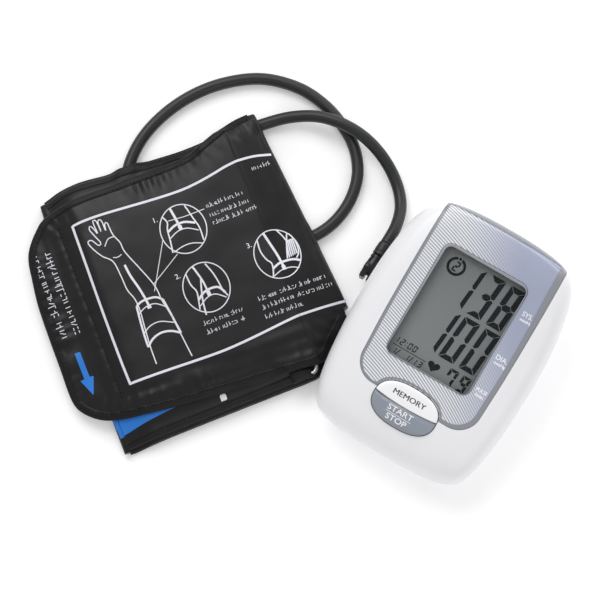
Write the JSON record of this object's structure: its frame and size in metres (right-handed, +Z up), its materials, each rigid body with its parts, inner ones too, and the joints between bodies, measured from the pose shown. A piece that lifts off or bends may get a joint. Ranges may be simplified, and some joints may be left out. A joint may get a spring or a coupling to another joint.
{
  "type": "upper arm blood pressure monitor",
  "caption": "Wedge-shaped desk monitor with a large tilted display, an oval pair of push-buttons, a side air plug on a looped rubber hose, and a rolled black fabric arm cuff.",
  "frame": {"origin": "bottom centre of the box round the monitor and cuff together, on the table (hose and plug left out)", "axes": "+Z up; +Y from the push-buttons towards the display end of the monitor; +X to the user's right; the cuff lies on the left of the monitor, its own axes turned 52.7 degrees"},
  "size_m": [0.295, 0.2377, 0.0526],
  "materials": {
    "case_white": "satin moulded",
    "panel_silver": "printed overlay, satin",
    "rim_grey": "satin",
    "window_glass": "clear",
    "lcd_grey": "matt",
    "board_green": "solder mask",
    "black_plastic": "matt",
    "key_white": "satin",
    "key_grey": "satin",
    "spring_steel": "plated",
    "motor_steel": "plated",
    "acetal_white": "natural",
    "inner_tube": "silicone",
    "port_grey": "matt",
    "plug_black": "polished",
    "hose_rubber": "satin rubber",
    "foot_rubber": "matt",
    "cell_jacket": "plain jacket",
    "cuff_nylon": "woven nylon",
    "bladder_rubber": "latex sheet",
    "band_blue": "printed nylon",
    "hook_tape": "hook tape",
    "ring_steel": "polished wire"
  },
  "bodies": {
    "monitor_and_cuff": {"front_cover": "case_white", "rear_cover": "case_white", "face_panel": "panel_silver", "display_rim": "rim_grey", "display_window": "window_glass", "lcd_module": "lcd_grey", "main_board": "board_green", "controller_chip": "black_plastic", "pressure_sensor": "black_plastic", "buzzer": "black_plastic", "memory_switch": "black_plastic", "start_stop_switch": "black_plastic", "contact_plate_lower": "spring_steel", "contact_plate_upper": "spring_steel", "pump_motor": "motor_steel", "pump_head": "black_plastic", "release_valve": "motor_steel", "air_tee": "acetal_white", "air_tube_port": "inner_tube", "air_tube_pump": "inner_tube", "air_tube_valve": "inner_tube", "air_port": "port_grey", "air_hose": "hose_rubber", "cuff_wrap": "cuff_nylon", "cuff_bladder": "bladder_rubber", "index_band": "band_blue", "hook_patch": "hook_tape", "d_ring": "ring_steel", "cuff_air_fitting": "hose_rubber", "housing_screw_1": "spring_steel", "rubber_foot_1": "foot_rubber", "battery_cell_1": "cell_jacket", "battery_spring_1": "spring_steel", "housing_screw_2": "spring_steel", "rubber_foot_2": "foot_rubber", "battery_cell_2": "cell_jacket", "battery_spring_2": "spring_steel", "housing_screw_3": "spring_steel", "rubber_foot_3": "foot_rubber", "battery_cell_3": "cell_jacket", "battery_spring_3": "spring_steel", "housing_screw_4": "spring_steel", "rubber_foot_4": "foot_rubber", "battery_cell_4": "cell_jacket", "battery_spring_4": "spring_steel"},
    "memory_key": {"memory_button": "key_white"},
    "start_stop_key": {"start_stop_button": "key_grey"},
    "battery_door": {"battery_cover": "case_white"},
    "hose_plug": {"air_plug": "plug_black", "hose_sleeve": "hose_rubber"},
    "pump_shaft": {"pump_rotor": "acetal_white"}
  },
  "joints": [
    {"name": "memory_press", "type": "slide", "parent": "monitor_and_cuff", "child": "memory_key", "axis": [0, 0.1772, -0.9842], "range_m": [0, 0.0008], "stiffness_N_per_m": 700},
    {"name": "start_stop_press", "type": "slide", "parent": "monitor_and_cuff", "child": "start_stop_key", "axis": [0, 0.1772, -0.9842], "range_m": [0, 0.0008], "stiffness_N_per_m": 700},
    {"name": "battery_door_slide", "type": "slide", "parent": "monitor_and_cuff", "child": "battery_door", "axis": [0, 1, 0], "range_m": [0, 0.06]},
    {"name": "plug_pull", "type": "slide", "parent": "monitor_and_cuff", "child": "hose_plug", "axis": [-1, 0, 0], "range_m": [0, 0.012]},
    {"name": "pump_spin", "type": "hinge", "parent": "monitor_and_cuff", "child": "pump_shaft", "pos_m": [0.07494, 0.02162, 0.0154], "axis": [1, 0, 0], "continuous": true}
  ]
}
